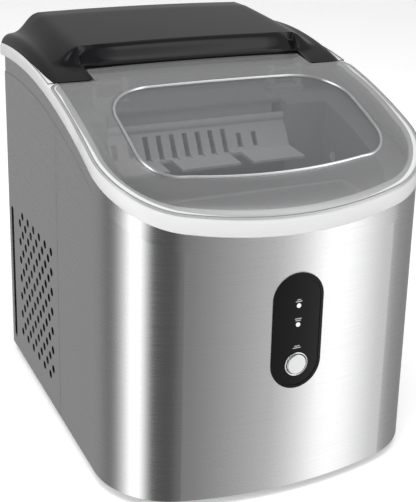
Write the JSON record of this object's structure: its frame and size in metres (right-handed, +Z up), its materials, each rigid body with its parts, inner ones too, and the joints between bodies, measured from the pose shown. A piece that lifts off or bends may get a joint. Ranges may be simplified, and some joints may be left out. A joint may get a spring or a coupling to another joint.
{
  "type": "countertop ice maker",
  "caption": "Countertop ice maker with steel casing, white collar, clear hinged lid over the ice bin, black rear cover, push button and vented sides.",
  "frame": {"origin": "on the table under the middle of the appliance", "axes": "+X to the user's right, +Y to the back, +Z up; the control panel faces -Y"},
  "size_m": [0.242, 0.3, 0.2905],
  "materials": {
    "steel": "horizontal brushed, satin",
    "white_plastic": "moulded, semi-gloss",
    "black_gloss": "moulded, glossy black",
    "clear_lid": "clear moulded, slightly smoky",
    "panel_black": "glossy black",
    "button_silver": "spun silver",
    "led_clear": "frosted lens",
    "liner_grey": "moulded, light grey",
    "basket_grey": "moulded, pale grey",
    "mechanism_grey": "moulded, pale grey",
    "foam_white": "expanded foam",
    "rubber_black": "moulded rubber",
    "rubber_grey": "moulded rubber",
    "pan_black": "moulded, textured",
    "board_green": "coated board",
    "nickel": "nickel plated",
    "fin_aluminium": "mill finish",
    "copper": "drawn copper tube",
    "compressor_black": "black enamel",
    "motor_black": "moulded",
    "screw_steel": "zinc plated",
    "pin_steel": "ground"
  },
  "bodies": {
    "casing": {"front_wrap": "steel", "left_side_panel": "steel", "right_side_panel": "steel", "back_panel": "steel", "back_screws": "screw_steel", "base_pan": "pan_black", "rubber_feet": "rubber_black", "top_collar": "white_plastic", "rear_cover": "black_gloss", "hinge_bracket_left": "mechanism_grey", "hinge_bracket_right": "mechanism_grey", "hinge_pin_left": "pin_steel", "hinge_pin_right": "pin_steel", "control_bezel": "panel_black", "led_lenses": "led_clear", "control_board": "board_green", "inner_liner": "liner_grey", "foam_jacket": "foam_white", "basket_ledges": "liner_grey", "evaporator_plate": "nickel", "ice_fingers": "nickel", "evaporator_cover": "mechanism_grey", "tray_motor": "motor_black", "ice_sensors": "led_clear", "float_stem": "mechanism_grey", "pump_housing": "motor_black", "water_hose": "rubber_grey", "drain_spout": "rubber_grey", "compressor": "compressor_black", "compressor_grommets": "rubber_grey", "condenser": "fin_aluminium", "fan_shroud": "motor_black", "fan_motor": "motor_black", "hot_gas_tube": "copper", "main_board": "board_green", "power_inlet": "motor_black", "inlet_pins": "nickel"},
    "lid": {"lid_shell": "clear_lid", "lid_window": "clear_lid"},
    "button": {"control_button": "button_silver"},
    "tray": {"water_tray": "mechanism_grey", "tray_shaft": "pin_steel"},
    "rake": {"ice_rake": "mechanism_grey"},
    "basket": {"ice_basket": "basket_grey"},
    "float": {"level_float": "motor_black"},
    "fan": {"fan_blades": "motor_black"},
    "impeller": {"pump_impeller": "mechanism_grey"},
    "drain_plug": {"drain_plug": "rubber_black"}
  },
  "joints": [
    {"name": "lid_hinge", "type": "hinge", "parent": "casing", "child": "lid", "pos_m": [0, 0.017, 0.258], "axis": [-1, 0, 0], "range_deg": [0, 95]},
    {"name": "button_press", "type": "slide", "parent": "casing", "child": "button", "axis": [0, 1, 0], "range_m": [0, 0.001], "stiffness_N_per_m": 400},
    {"name": "tray_tilt", "type": "hinge", "parent": "casing", "child": "tray", "pos_m": [0, 0.03, 0.208], "axis": [1, 0, 0], "range_deg": [0, 80]},
    {"name": "rake_sweep", "type": "hinge", "parent": "casing", "child": "rake", "pos_m": [0, -0.0015, 0.226], "axis": [-1, 0, 0], "range_deg": [0, 30]},
    {"name": "basket_lift", "type": "slide", "parent": "casing", "child": "basket", "axis": [0, 0, 1], "range_m": [0, 0.02]},
    {"name": "float_rise", "type": "slide", "parent": "casing", "child": "float", "axis": [0, 0, 1], "range_m": [0, 0.014]},
    {"name": "fan_spin", "type": "hinge", "parent": "casing", "child": "fan", "pos_m": [-0.105, 0.057, 0.082], "axis": [1, 0, 0], "continuous": true},
    {"name": "impeller_spin", "type": "hinge", "parent": "casing", "child": "impeller", "pos_m": [-0.02, -0.024, 0.032], "axis": [0, 0, 1], "continuous": true},
    {"name": "drain_plug_pull", "type": "slide", "parent": "casing", "child": "drain_plug", "axis": [0, 1, 0], "range_m": [0, 0.01]}
  ],
  "couplings": [
    {"joint": "rake_sweep", "follows": "tray_tilt", "ratio": 0.375}
  ]
}
